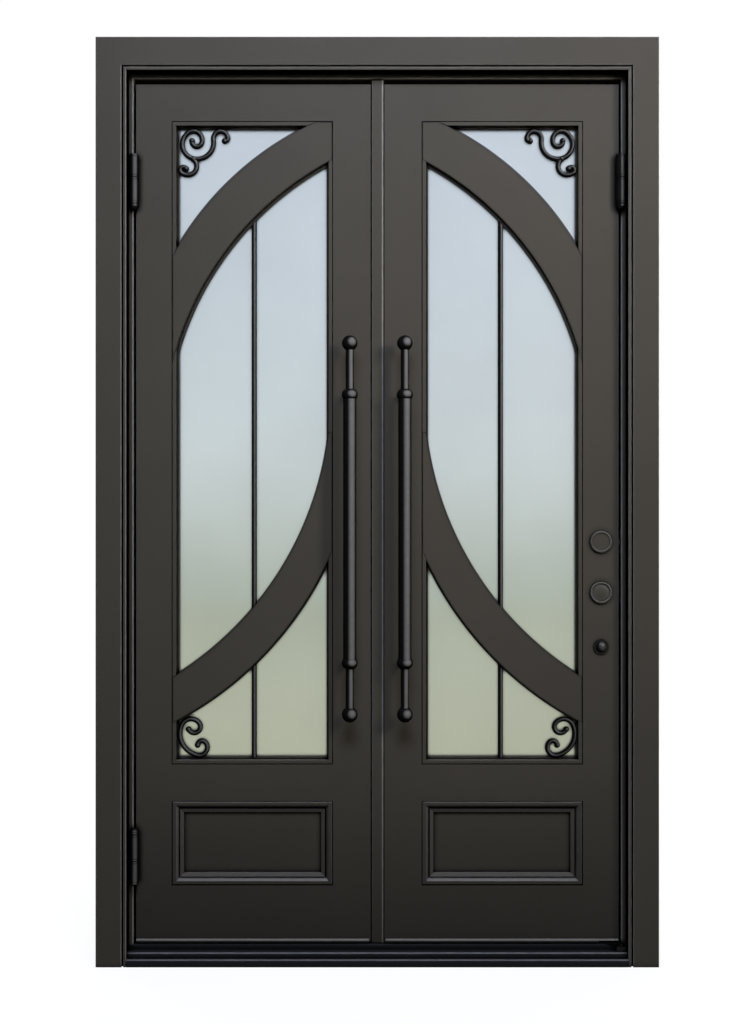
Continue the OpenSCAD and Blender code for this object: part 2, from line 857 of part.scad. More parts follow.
module upper_scroll(side) {
    color(dark_steel) scroll_place(side) union() {
        bent_bar(upper_scroll_start, upper_scroll_heading, upper_scroll_arcs);
        bent_bar(branch_start, branch_heading, branch_arcs);
    }
}

module lower_scroll(side) {
    color(dark_steel) scroll_place(side)
        bent_bar(lower_scroll_start, lower_scroll_heading, lower_scroll_arcs);
}

// Bottom panel

module panel(side) {
    color(steel) on_side(side) box(
        [lite_x0, leaf_face_y + panel_setback, panel_z0], [lite_x1, leaf_back_y - panel_setback, panel_z1]);
}

// Section of the panel moulding: a flat edge, a slope to a groove, and a band that falls to the panel
module moulding_section() {
    line_y = leaf_face_y + joint_line_depth;
    slope_y = leaf_face_y + moulding_slope_depth;
    groove_y = leaf_face_y + moulding_groove_depth;
    band_y = leaf_face_y + moulding_band_depth;
    base_y = leaf_face_y + panel_setback;
    c = moulding_round;
    flat_end = joint_line_w + moulding_flat_w;
    slope_end = flat_end + moulding_slope_w;
    band_start = slope_end + moulding_groove_w;
    band_end = band_start + moulding_band_w;
    polygon([
        [0, base_y], [0, line_y], [joint_line_w, line_y], [joint_line_w, leaf_face_y + c],
        [joint_line_w + c, leaf_face_y], [flat_end, leaf_face_y], [slope_end, slope_y], [slope_end, groove_y],
        [band_start, groove_y], [band_start, band_y], [band_end, band_y + moulding_band_fall],
        [band_end, base_y]
    ]);
}

module panel_mouldings(side) {
    color(steel) on_side(side) translate([lite_mid_x, 0, panel_mid_z]) {
        mitred_frame(lite_w, panel_h) moulding_section();
        translate([0, leaf_face_y + leaf_back_y, 0]) mirror([0, 1, 0])
            mitred_frame(lite_w, panel_h) moulding_section();
    }
}

// Drip lip on the face and the sweep under a leaf, short of the pivot arm on the right
module sweep(side) {
    x0 = meeting_edge(leaf_back_y) + sweep_end;
    x1 = (side == "right" ? pivot_x0 : leaf_out_x) - sweep_end;
    lip_y = leaf_face_y - sweep_proud;
    lip_top = sweep_top - sweep_proud;
    color(dark_steel) on_side(side) union() {
        translate([x0, 0, 0]) rotate([90, 0, 90]) linear_extrude(x1 - x0) polygon([
            [lip_y, sweep_bottom], [sweep_back_y, sweep_bottom], [sweep_back_y, leaf_bottom],
            [leaf_face_y, leaf_bottom], [leaf_face_y, sweep_top], [lip_y, lip_top]
        ]);
        if (side == "right")
            translate([x1, 0, 0]) rotate([90, 0, 90]) linear_extrude(leaf_out_x - sweep_end - x1) polygon([
                [lip_y, leaf_bottom], [leaf_face_y, leaf_bottom], [leaf_face_y, sweep_top], [lip_y, lip_top]
            ]);
    }
}

// Bar that covers the meeting joint, screwed to the edge of the left leaf
module astragal() {
    front_y = leaf_face_y - astragal_proud;
    left = -astragal_left;
    right = astragal_right;
    rear_y = astragal_back_y;
    stem_y = astragal_stem_y;
    taper = 0.3;
    c = 1;
    color(steel) translate([0, 0, astragal_bottom]) linear_extrude(astragal_top - astragal_bottom) polygon([
        [left, front_y + c], [left + c, front_y], [right - astragal_fall_w, front_y],
        [right, front_y + astragal_fall], [right - taper, rear_y], [astragal_stem_x, rear_y],
        [astragal_stem_x, stem_y], [-meeting_edge(stem_y), stem_y], [-meeting_edge(rear_y), rear_y],
        [left, rear_y]
    ]);
}

// Pulls

// Half outline of a turned pull, with X as the radius and Y as the height
module pull_outline() {
    intersection() {
        union() {
            for (z = [pull_bottom_z, pull_top_z]) translate([0, z]) circle(d = pull_ball_d);
            translate([0, pull_bottom_z]) square([pull_end_d / 2, pull_top_z - pull_bottom_z]);
            translate([0, pull_collars[0]]) square([pull_bar_d / 2, pull_collars[1] - pull_collars[0]]);
            for (z = pull_collars)
                translate([pull_collar_d / 2 - pull_collar_r, z]) circle(r = pull_collar_r);
        }
        translate([0, pull_bottom_z - pull_ball_d]) square([pull_ball_d, pull_top_z]);
    }
}

// A turned pull on the outside of a leaf with its two posts
module pull_shape() {
    translate([pull_x, pull_y, 0]) rotate_extrude() pull_outline();
    for (z = pull_collars) difference() {
        union() {
            along_y(pull_x, z, pull_y, leaf_face_y, post_d);
            along_y(pull_x, z, leaf_face_y - post_rose_t, leaf_face_y, post_rose_d);
        }
        along_y(
            pull_x, z, leaf_face_y - pull_rod_depth, leaf_face_y + cut, pull_rod_d + 2 * run_clearance);
    }
}

module pull(side) {
    color(dark_steel) on_side(side) pull_shape();
}

module inside_pull(side) {
    color(dark_steel) on_side(side)
        translate([0, leaf_face_y + leaf_back_y, 0]) mirror([0, 1, 0]) pull_shape();
}

module pull_bolts(side) {
    color(pin_steel) on_side(side) for (z = pull_collars)
        along_y(pull_x, z, leaf_face_y - pull_rod_depth, leaf_back_y + pull_rod_depth, pull_rod_d);
}

// Locks

// Barrel of a lock in the stile, with a blind hole for the thumb-turn
module lock_barrel(z) {
    difference() {
        along_y(lock_x, z, leaf_face_y - cut, leaf_back_y, lock_barrel_d);
        along_y(
            lock_x, z, leaf_back_y - turn_bore_depth, leaf_back_y + cut, turn_shaft_d + 2 * run_clearance);
    }
}

// A round rose with a raised round rim
module rose(z) {
    rim_x = rose_d / 2 - rose_rim;
    rim_h = rose_t - rose_rim / 2;
    translate([lock_x, leaf_face_y, z]) rotate([90, 0, 0]) rotate_extrude() union() {
        square([rim_x + rose_rim / 2, rose_t - rose_recess]);
        translate([rim_x, 0]) square([rose_rim, rim_h]);
        translate([rim_x + rose_rim / 2, rim_h]) circle(d = rose_rim);
    }
}

module upper_lock_rose() {
    color(dark_steel) union() {
        rose(upper_lock_z);
        lock_barrel(upper_lock_z);
    }
}

module lower_lock_rose() {
    dome_d = rose_d - 2 * rose_rim - 2 * rose_dome_margin;
    dome_rise = rose_dome_r - sqrt(rose_dome_r * rose_dome_r - dome_d * dome_d / 4);
    seat_y = leaf_face_y - rose_t + rose_recess;
    color(dark_steel) union() {
        rose(lower_lock_z);
        lock_barrel(lower_lock_z);
        intersection() {
            translate([lock_x, seat_y - dome_rise + rose_dome_r, lower_lock_z]) sphere(r = rose_dome_r);
            along_y(lock_x, lower_lock_z, seat_y - dome_rise - cut, seat_y + cut, dome_d);
        }
    }
}

module inside_lock_roses() {
    y1 = leaf_back_y + inner_rose_t;
    color(dark_steel) for (z = [upper_lock_z, lower_lock_z]) difference() {
        along_y(lock_x, z, leaf_back_y, y1, inner_rose_d);
        along_y(lock_x, z, leaf_back_y - cut, y1 + cut, turn_shaft_d + 2 * run_clearance);
    }
}

module thumb_turn(z) {
    y0 = leaf_back_y + inner_rose_t + turn_gap;
    half = turn_size[2] / 2 - turn_size[0] / 2;
    color(dark_steel) union() {
        along_y(lock_x, z, leaf_back_y - turn_shaft_depth, y0 + cut, turn_shaft_d);
        upright(y0, y0 + turn_size[1]) union() {
            for (s = [-1, 1]) translate([lock_x, z + s * half]) circle(d = turn_size[0]);
            translate([lock_x - turn_size[0] / 2, z - half]) square([turn_size[0], 2 * half]);
        }
    }
}

module lock_bolt(z) {
    color(pin_steel) along_x(0, z, bolt_tail_x, bolt_tip_x, bolt_d);
}

module bell_housing() {
    bezel_y = leaf_face_y - bell_bezel_t;
    body_y = leaf_face_y + bell_body_len - bell_body_gap;
    stem_y = leaf_face_y + bell_body_len - bell_stem_wall;
    color(dark_steel) difference() {
        union() {
            along_y(lock_x, bell_z, bezel_y, leaf_face_y, bell_bezel_d);
            along_y(lock_x, bell_z, leaf_face_y - cut, body_y, bell_body_d);
        }
        along_y(lock_x, bell_z, bezel_y - cut, leaf_face_y + bell_throat_depth, bell_throat_d);
        along_y(lock_x, bell_z, bezel_y - cut, leaf_face_y - bell_pocket_floor, bell_pocket_d);
        along_y(lock_x, bell_z, bezel_y, stem_y, bell_stem_d + 2 * run_clearance);
    }
}

module bell_button() {
    base_y = leaf_face_y - bell_travel - bell_dome_gap;
    stem_y = base_y + bell_body_len - bell_stem_wall;
    color(dark_steel) union() {
        intersection() {
            translate([lock_x, base_y - bell_dome_h + bell_dome_r, bell_z]) sphere(r = bell_dome_r);
            along_y(lock_x, bell_z, base_y - bell_dome_r, base_y, bell_dome_d);
        }
        along_y(lock_x, bell_z, base_y - cut, stem_y, bell_stem_d);
    }
}

jamb("left");  // left_jamb
jamb("right");  // right_jamb
head();
threshold();
frame_seal();
frame_knuckles();
hinge_pins();
pivot_block();
strike_plates();
hinge_stile("left");  // left_hinge_stile
meeting_stile("left");  // left_meeting_stile
rail("left", lite_z1, leaf_top);  // left_top_rail
rail("left", panel_z1, lite_z0);  // left_lock_rail
rail("left", leaf_bottom, panel_z0);  // left_bottom_rail
upper_band("left");  // left_upper_band
lower_band("left");  // left_lower_band
glazing_bead("left");  // left_glazing_bead
glazing_bar("left");  // left_glazing_bar
glass("left");  // left_glass
inside_stop("left");  // left_inside_stop
upper_scroll("left");  // left_upper_scroll
lower_scroll("left");  // left_lower_scroll
panel("left");  // left_panel
panel_mouldings("left");  // left_panel_mouldings
sweep("left");  // left_sweep
left_leaf_knuckles();
pull("left");  // left_pull
inside_pull("left");  // left_inside_pull
pull_bolts("left");  // left_pull_bolts
astragal();
hinge_stile("right");  // right_hinge_stile
meeting_stile("right");  // right_meeting_stile
rail("right", lite_z1, leaf_top);  // right_top_rail
rail("right", panel_z1, lite_z0);  // right_lock_rail
rail("right", leaf_bottom, panel_z0);  // right_bottom_rail
upper_band("right");  // right_upper_band
lower_band("right");  // right_lower_band
glazing_bead("right");  // right_glazing_bead
glazing_bar("right");  // right_glazing_bar
glass("right");  // right_glass
inside_stop("right");  // right_inside_stop
upper_scroll("right");  // right_upper_scroll
lower_scroll("right");  // right_lower_scroll
panel("right");  // right_panel
panel_mouldings("right");  // right_panel_mouldings
sweep("right");  // right_sweep
right_leaf_knuckle();
pull("right");  // right_pull
inside_pull("right");  // right_inside_pull
pull_bolts("right");  // right_pull_bolts
pivot_arm();
upper_lock_rose();
lower_lock_rose();
inside_lock_roses();
thumb_turn(upper_lock_z);  // upper_thumb_turn
thumb_turn(lower_lock_z);  // lower_thumb_turn
lock_bolt(upper_lock_z);  // upper_lock_bolt
lock_bolt(lower_lock_z);  // lower_lock_bolt
bell_housing();
bell_button();
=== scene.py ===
"""Looks of the french doors: paint, ironwork, frosted glass, rubber, studio and camera.

Lengths are in metres, and colours are linear.
"""

import json

import bmesh
import bpy
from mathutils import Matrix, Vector


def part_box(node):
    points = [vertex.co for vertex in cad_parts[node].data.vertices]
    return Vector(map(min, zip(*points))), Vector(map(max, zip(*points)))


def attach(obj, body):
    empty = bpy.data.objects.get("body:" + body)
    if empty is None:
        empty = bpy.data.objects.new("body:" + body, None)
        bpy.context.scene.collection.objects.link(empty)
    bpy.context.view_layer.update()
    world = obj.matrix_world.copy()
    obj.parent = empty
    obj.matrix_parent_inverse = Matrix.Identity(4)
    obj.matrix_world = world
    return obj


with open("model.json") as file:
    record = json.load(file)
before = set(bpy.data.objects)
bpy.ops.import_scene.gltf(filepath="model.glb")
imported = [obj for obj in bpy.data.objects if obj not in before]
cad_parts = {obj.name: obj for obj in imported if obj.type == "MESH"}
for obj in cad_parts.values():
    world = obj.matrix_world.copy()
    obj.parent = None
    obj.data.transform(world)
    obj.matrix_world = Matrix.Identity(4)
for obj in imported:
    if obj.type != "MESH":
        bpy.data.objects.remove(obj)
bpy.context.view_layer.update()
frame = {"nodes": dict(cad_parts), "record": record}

# Camera: the photo's height and scale, where its middle falls on the frame's outside face, and the eye
IMAGE_H = 1024
MM_PER_PIXEL = 2.621
MIDDLE_Z = 1.1936
FACE_Y = -0.070
EYE_X = 0.0005
EYE_DISTANCE = 3.75
EYE_HEIGHT = 1.24
SENSOR = 36.0

# Paint and metal colours
STEEL_PAINT = (0.0365, 0.0320, 0.0254)
# Tone of the painted highlights on edges, scaled down for painted dark lines of shade
PAINTED_EDGE_TONE = (0.0360, 0.0337, 0.0308)
SILL_PAINT = (0.0090, 0.0098, 0.0115)
# Tone of the painted highlights on the sill's outer noses
SILL_NOSE_HIGHLIGHT = (0.085, 0.085, 0.086)
IRONWORK = (0.0045, 0.0042, 0.0038)
# Tone of iron where the painted light falls
LIT_IRON_TONE = (0.0900, 0.0860, 0.0810)
BARE_STEEL = (0.100, 0.096, 0.092)
RUBBER = (0.010, 0.010, 0.010)
# Light tone painted on upward faces as top light
TOP_LIGHT_TONE = (0.118, 0.112, 0.104)
PAINT_SHEEN = 0.04
PAINT_ROUGHNESS = 0.46

# Ways from which the painted light falls on iron, outside and inside the doors
PAINTED_LIGHT_WAYS = ((0.37, -0.927, 0.20), (0.37, 0.927, 0.20))
# Largest part of the normal on chamfers, where the painted highlight is full and where it ends
CHAMFERS = (0.75, 0.97)
# Upward part of the normal where the painted top light starts and where it is full
UPWARD = (0.30, 0.65)
# Heights between which the painted shade at a leaf's foot fades back to its full tone, and the tone at the
# foot
FOOT_SHADE_Z = (0.05, 0.55)
FOOT_SHADE_TONE = 0.52
# Heights of the sill's noses that get a painted highlight
SILL_HIGHLIGHT_Z = (-0.10, 0.040)
# Walls of the frame's rebate, between its bead and the step beside the leaf, and the tone of the painted
# shade on them
REBATE = {"X": (-0.70, 0.70), "Y": (-0.0640, -0.0258), "Z": (-0.10, 2.40)}
REBATE_SHADE_TONE = 0.02
# Reach of the painted shade in crevices, and the openness where it is full and where it ends
LEAF_CREVICE = (0.016, 0.50, 0.97)
LEDGE_CREVICE = (0.010, 0.35, 0.90)
FRAME_CREVICE = (0.014, 0.40, 0.90)
ROSE_CREVICE = (0.007, 0.42, 0.88)
SILL_CREVICE = (0.020, 0.45, 0.95)
IRON_CREVICE = (0.030, 0.30, 0.85)
GLASS_CREVICE = (0.010, 0.45, 0.78)

# Heights of the glass, and its tints from its foot to its head, which paint a reflection of the surroundings
GLASS_Z = (0.52, 2.23)
GLASS_REFLECTION_TINTS = (
    (0.00, (0.457, 0.483, 0.365)),
    (0.18, (0.445, 0.482, 0.380)),
    (0.26, (0.385, 0.436, 0.350)),
    (0.43, (0.585, 0.652, 0.645)),
    (0.57, (0.575, 0.645, 0.668)),
    (1.00, (0.502, 0.570, 0.645)),
)
GLASS_SHEEN = 0.5
# Painted shade lines on the glass along the bands: middle X and Z, inner radius, width, lowest and highest Z
GLASS_SHADE_LINES = (
    (-0.1815, 1.4795, 0.8240, 0.0085, 1.45, 2.30),
    (1.0055, 1.5045, 0.8780, 0.0035, 0.50, 1.40),
)

# Parts of a noise's values that are spread over a whole range: soft clouds, firmer patches and rare specks
CLOUDS = (0.30, 0.70)
PATCHES = (0.35, 0.65)
SPECKS = (0.62, 0.80)

# Soft fin behind the astragal, as an X-Y outline
FIN_OUTLINE = (
    (0.0080, -0.0080), (0.0132, -0.0080), (0.0180, -0.0050),
    (0.0172, -0.0036), (0.0128, -0.0052), (0.0080, -0.0052),
)

# Studio: the light that the surroundings add, and the floor and backdrop
WHITE = (1, 1, 1, 1)
SKY_FILL = 0.055
STAGE_SIZE = 40
STAGE_BOUNCE = (0.10, 0.10, 0.10, 1)
# Distances from the middle of a stage surface between which it goes to full white
STAGE_FADE = (0.6, 2.6)
QUARTER_TURN = 1.5708
HALF_TURN = 3.1416

# Vector operations that give one number
NUMBER_RESULTS = ("DOT_PRODUCT", "DISTANCE", "LENGTH")


class Nodes:
    """The nodes of a material or of the world, with short ways to add and link them."""

    def __init__(self, owner):
        owner.use_nodes = True
        self.owner = owner
        self.tree = owner.node_tree

    def add(self, kind, **values):
        node = self.tree.nodes.new(kind)
        for key, value in values.items():
            setattr(node, key, value)
        return node

    def link(self, source, target):
        self.tree.links.new(source, target)

    def socket(self, name):
        """An input of the material's shader."""
        return self.tree.nodes["Principled BSDF"].inputs[name]

    def feed(self, name, source):
        self.link(source, self.socket(name))

    def put(self, name, value):
        self.socket(name).default_value = value

    def sheen(self, source, value):
        """Links a varied specular level, and keeps its full value on the socket for exports."""
        self.put("Specular IOR Level", value)
        self.feed("Specular IOR Level", source)

    def math(self, operation, first, second):
        """The second value may be a plain number."""
        node = self.add("ShaderNodeMath", operation=operation)
        self.link(first, node.inputs[0])
        if isinstance(second, (int, float)):
            node.inputs[1].default_value = second
        else:
            self.link(second, node.inputs[1])
        return node.outputs["Value"]

    def times(self, first, second):
        return self.math("MULTIPLY", first, second)

    def larger(self, first, second):
        return self.math("MAXIMUM", first, second)

    def vector(self, operation, first, second=None):
        """The second vector may be plain numbers."""
        node = self.add("ShaderNodeVectorMath", operation=operation)
        self.link(first, node.inputs[0])
        if isinstance(second, tuple):
            node.inputs[1].default_value = second
        elif second is not None:
            self.link(second, node.inputs[1])
        return node.outputs["Value" if operation in NUMBER_RESULTS else "Vector"]

    def scale(self, colour, factor):
        node = self.add("ShaderNodeVectorMath", operation="SCALE")
        self.link(colour, node.inputs[0])
        self.link(factor, node.inputs["Scale"])
        return node.outputs["Vector"]

    def place(self, kind="Object"):
        return self.add("ShaderNodeTexCoord").outputs[kind]

    def axes(self, vector):
        """The X, Y and Z of a vector, by name."""
        node = self.add("ShaderNodeSeparateXYZ")
        self.link(vector, node.inputs["Vector"])
        return node.outputs

    def span(self, source, low, high, start=0.0, end=1.0):
        """Goes from a low to a high result while the source goes from its start to its end."""
        node = self.add("ShaderNodeMapRange")
        node.inputs["From Min"].default_value = start
        node.inputs["From Max"].default_value = end
        node.inputs["To Min"].default_value = low
        node.inputs["To Max"].default_value = high
        self.link(source, node.inputs["Value"])
        return node.outputs["Result"]

    def noise(self, scale, detail, stretch=(1, 1, 1)):
        mapping = self.add("ShaderNodeMapping")
        mapping.inputs["Scale"].default_value = stretch
        texture = self.add("ShaderNodeTexNoise")
        texture.inputs["Scale"].default_value = scale
        texture.inputs["Detail"].default_value = detail
        self.link(self.place(), mapping.inputs["Vector"])
        self.link(mapping.outputs["Vector"], texture.inputs["Vector"])
        return texture.outputs["Fac"]

    def varied(self, scale, detail, low, high, limits=PATCHES):
        """Noise spread over a range."""
        return self.span(self.noise(scale, detail), low, high, *limits)

    def mix(self, factor, first, second):
        node = self.add("ShaderNodeMix", data_type="RGBA")
        self.link(factor, node.inputs["Factor"])
        colour_inputs = [socket for socket in node.inputs if socket.type == "RGBA"]
        for socket, value in zip(colour_inputs, (first, second)):
            if isinstance(value, tuple):
                socket.default_value = (*value, 1)
            else:
                self.link(value, socket)
        return [socket for socket in node.outputs if socket.type == "RGBA"][0]

    def bump(self, height, strength, distance, normal=None):
        node = self.add("ShaderNodeBump")
        node.inputs["Strength"].default_value = strength
        node.inputs["Distance"].default_value = distance
        self.link(height, node.inputs["Height"])
        if normal is not None:
            self.link(normal, node.inputs["Normal"])
        return node.outputs["Normal"]

    def edge_mask(self, radius, full=0.72, none=1.0):
        """Rounded normal near sharp edges, and a mask that is 1 on them.

        The limits are the cosines of the rounding where the mask is full and where it ends.
        """
        bevel = self.add("ShaderNodeBevel", samples=4)
        bevel.inputs["Radius"].default_value = radius
        rounded = bevel.outputs["Normal"]
        plain = self.add("ShaderNodeNewGeometry").outputs["Normal"]
        return rounded, self.span(self.vector("DOT_PRODUCT", rounded, plain), 1.0, 0.0, full, none)

    def arris_mask(self, full, none):
        """1 where the surface faces between the axes, as chamfers and round edges do.

        The limits are the largest part of the normal where the mask is full and where it ends.
        """
        parts = self.axes(self.vector("ABSOLUTE", self.place("Normal")))
        largest = self.larger(self.larger(parts["X"], parts["Y"]), parts["Z"])
        return self.span(largest, 1.0, 0.0, full, none)

    def crevice_shade(self, reach, low, high):
        """0 deep in corners and narrow gaps, 1 out in the open: the scale of the painted shade in crevices.
        """
        node = self.add("ShaderNodeAmbientOcclusion", samples=6)
        node.inputs["Distance"].default_value = reach
        return self.span(node.outputs["AO"], 0.0, 1.0, low, high)

    def zone(self, source, low, high):
        """1 where a value lies between two limits."""
        return self.times(self.math("GREATER_THAN", source, low), self.math("LESS_THAN", source, high))

    def rebate_shade_mask(self):
        """1 on the walls of the frame's rebate, which are painted near black as shade."""
        parts = self.axes(self.place())
        across, deep, up = (self.zone(parts[axis], *limits) for axis, limits in REBATE.items())
        return self.times(self.times(across, up), deep)

    def top_light_mask(self):
        """1 on surfaces that face up, which are painted lighter as if lit from above."""
        return self.span(self.axes(self.place("Normal"))["Z"], 0.0, 1.0, *UPWARD)

    def painted_foot_shade(self):
        """Darker towards the foot, as painted shade."""
        return self.span(self.axes(self.place())["Z"], FOOT_SHADE_TONE, 1.0, *FOOT_SHADE_Z)

    def seen_directly(self):
        """1 for what the camera, a reflection or clear glass sees, and 0 for light that falls on things."""
        path = self.add("ShaderNodeLightPath").outputs
        shown = self.larger(path["Is Camera Ray"], path["Is Glossy Ray"])
        return self.larger(shown, path["Is Transmission Ray"])


def new_material(name):
    return Nodes(bpy.data.materials.new(name))


def scaled(colour, factor):
    return tuple(channel * factor for channel in colour)


def paint(
    name, crevice_shade, painted_edge, arris=CHAMFERS, edge_radius=None, rebate=False, top_light=0.0, foot=False,
    roughness=PAINT_ROUGHNESS,
):
    """Sprayed paint: cloudy tone and orange peel, with painted shade in crevices, painted top light on
    upward ledges, and painted highlights on edges.

    With an edge radius sharp edges are softened and get the painted highlight, and without one only real
    chamfers do.
    An edge factor below 1 draws a painted dark line of shade along the edges instead, which stay sharp. The
    rebate walls and the foot can also be painted darker as shade.
    """
    nodes = new_material(name)
    cloud = nodes.varied(2.6, 4, 0, 1, CLOUDS)
    tone = nodes.mix(cloud, scaled(STEEL_PAINT, 0.94), scaled(STEEL_PAINT, 1.06))
    speck = nodes.varied(1500, 2, 0, 0.4, SPECKS)
    tone = nodes.mix(speck, tone, scaled(STEEL_PAINT, 1.6))
    normal = None
    if edge_radius is None:
        edge = nodes.arris_mask(*arris)
    elif painted_edge < 1:
        edge = nodes.edge_mask(edge_radius, 0.95, 0.995)[1]
    else:
        normal, edge = nodes.edge_mask(edge_radius)
    patchy_edge = nodes.varied(45, 4, 0.7, 1.0)
    # Painted highlight along the edges, and a painted dark line of shade where the edge factor is below 1
    tone = nodes.mix(nodes.times(edge, patchy_edge), tone, scaled(PAINTED_EDGE_TONE, painted_edge))
    # Painted shade: the tone is darkened in crevices, and the sheen is taken out of them
    unshaded = nodes.crevice_shade(*crevice_shade)
    if rebate:
        # Painted shade: the rebate walls are painted near black and lose their sheen
        shaded_walls = nodes.rebate_shade_mask()
        tone = nodes.mix(shaded_walls, tone, scaled(STEEL_PAINT, REBATE_SHADE_TONE))
        nodes.sheen(nodes.span(shaded_walls, PAINT_SHEEN, 0.0), PAINT_SHEEN)
    else:
        nodes.sheen(nodes.span(unshaded, 0.0, PAINT_SHEEN), PAINT_SHEEN)
    if foot:
        # Painted shade: the tone darkens towards the foot
        tone = nodes.scale(tone, nodes.painted_foot_shade())
    if top_light:
        # Painted top light: upward faces are lightened as if lit from above
        top_lit = nodes.varied(60, 4, 0.8 * top_light, top_light)
        tone = nodes.mix(nodes.times(nodes.top_light_mask(), top_lit), tone, TOP_LIGHT_TONE)
    nodes.feed("Base Color", nodes.scale(tone, unshaded))
    nodes.feed("Roughness", nodes.varied(30, 3, roughness - 0.05, roughness + 0.05, CLOUDS))
    nodes.feed("Normal", nodes.bump(nodes.noise(420, 2), 0.10, 0.0004, normal))
    return nodes.owner


def sill_paint(name):
    """Dark sill paint, with painted highlights on the outer step noses and painted shade in crevices."""
    nodes = new_material(name)
    low_noses = nodes.zone(nodes.axes(nodes.place())["Z"], *SILL_HIGHLIGHT_Z)
    # Painted highlight on the chamfers of the outer noses
    nose_highlight = nodes.times(nodes.arris_mask(*CHAMFERS), low_noses)
    nose_patchiness = nodes.varied(35, 4, 0.75, 1.0)
    grit = nodes.varied(300, 3, 0, 1)
    tone = nodes.mix(grit, scaled(SILL_PAINT, 0.85), scaled(SILL_PAINT, 1.15))
    tone = nodes.mix(nodes.times(nose_highlight, nose_patchiness), tone, SILL_NOSE_HIGHLIGHT)
    # Painted shade in crevices
    nodes.feed("Base Color", nodes.scale(tone, nodes.crevice_shade(*SILL_CREVICE)))
    nodes.feed("Roughness", nodes.varied(30, 3, 0.42, 0.56, CLOUDS))
    nodes.feed("Normal", nodes.bump(grit, 0.15, 0.0003))
    nodes.put("Specular IOR Level", PAINT_SHEEN)
    return nodes.owner


def painted_light_iron(name, lit_tone, start, sheen=0.06, roughness=0.44):
    """Waxed iron, near black, with painted light on the side turned to the light.

    The painted light starts where the surface turns towards it by the given cosine, and a painted sheen
    follows it.
    """
    nodes = new_material(name)
    normal = nodes.place("Normal")
    outside, inside = (nodes.vector("DOT_PRODUCT", normal, way) for way in PAINTED_LIGHT_WAYS)
    # Painted light and a painted sheen on the side turned to the light
    lit_side = nodes.span(nodes.larger(outside, inside), 0, 1, start, 1.0)
    lit_patchiness = nodes.varied(90, 4, 0.88, 1.0)
    tone = nodes.mix(nodes.times(lit_side, lit_patchiness), IRONWORK, lit_tone)
    # Painted shade in crevices
    nodes.feed("Base Color", nodes.scale(tone, nodes.crevice_shade(*IRON_CREVICE)))
    nodes.feed("Roughness", nodes.varied(70, 3, roughness - 0.04, roughness + 0.04, CLOUDS))
    nodes.feed("Normal", nodes.bump(nodes.noise(520, 3), 0.10, 0.0003))
    nodes.sheen(nodes.span(lit_side, 0.0, sheen, 0.1, 0.8), sheen)
    return nodes.owner


def turned_steel(name):
    """Bare turned or drawn steel with fine rings and a faint oil film."""
    nodes = new_material(name)
    rings = nodes.noise(240, 3, (0.25, 0.25, 6))
    nodes.feed("Base Color", nodes.mix(rings, scaled(BARE_STEEL, 0.8), scaled(BARE_STEEL, 1.1)))
    nodes.feed("Roughness", nodes.varied(60, 3, 0.22, 0.42, CLOUDS))
    rounded = nodes.edge_mask(0.0008)[0]
    nodes.feed("Normal", nodes.bump(rings, 0.12, 0.0003, rounded))
    nodes.put("Metallic", 1.0)
    return nodes.owner


def rubber(name):
    """Black rubber with a faint grey bloom."""
    nodes = new_material(name)
    bloom = nodes.noise(80, 4)
    nodes.feed("Base Color", nodes.mix(bloom, RUBBER, scaled(RUBBER, 2.0)))
    nodes.feed("Roughness", nodes.span(bloom, 0.55, 0.8))
    nodes.feed("Normal", nodes.bump(nodes.noise(900, 2), 0.2, 0.0003))
    nodes.put("Specular IOR Level", 0.2)
    return nodes.owner


def shade_line_mask(nodes):
    """1 on the painted shade lines along the bands, the same on both leaves."""
    flat = nodes.vector("MULTIPLY", nodes.vector("ABSOLUTE", nodes.place()), (1, 0, 1))
    height = nodes.axes(flat)["Z"]
    lines = []
    for x, z, radius, width, low, high in GLASS_SHADE_LINES:
        reach = nodes.vector("DISTANCE", flat, (x, 0, z))
        ring = nodes.zone(reach, radius, radius + width)
        lines.append(nodes.times(ring, nodes.zone(height, low, high)))
    return nodes.larger(*lines)


def frosted_glass(name):
    """Acid-etched glass with fine grain: cool near the top and greener lower down as a painted reflection,
    and dark along its beads and bands as painted shade.
    """
    nodes = new_material(name)
    # Painted reflection: the tints change with height
    ramp = nodes.add("ShaderNodeValToRGB")
    ramp.color_ramp.interpolation = "B_SPLINE"
    for position, _ in GLASS_REFLECTION_TINTS[1:-1]:
        ramp.color_ramp.elements.new(position)
    for element, (_, colour) in zip(ramp.color_ramp.elements, GLASS_REFLECTION_TINTS):
        element.color = (*colour, 1)
    nodes.link(nodes.span(nodes.axes(nodes.place())["Z"], 0, 1, *GLASS_Z), ramp.inputs["Fac"])
    reflected_tint = nodes.scale(ramp.outputs["Color"], nodes.varied(3.0, 3, 0.89, 0.97, CLOUDS))
    # Painted shade on the glass along the bands and in the bead crevices, which also takes its sheen off
    off_shade_lines = nodes.span(shade_line_mask(nodes), 1.0, 0.0)
    clear = nodes.times(nodes.crevice_shade(*GLASS_CREVICE), off_shade_lines)
    nodes.feed("Base Color", nodes.scale(reflected_tint, clear))
    nodes.sheen(nodes.span(clear, 0.0, GLASS_SHEEN), GLASS_SHEEN)
    nodes.feed("Roughness", nodes.span(nodes.noise(700, 2), 0.50, 0.60))
    nodes.feed("Normal", nodes.bump(nodes.noise(1400, 2), 0.08, 0.0003))
    nodes.put("Transmission Weight", 1.0)
    nodes.put("IOR", 1.45)
    return nodes.owner


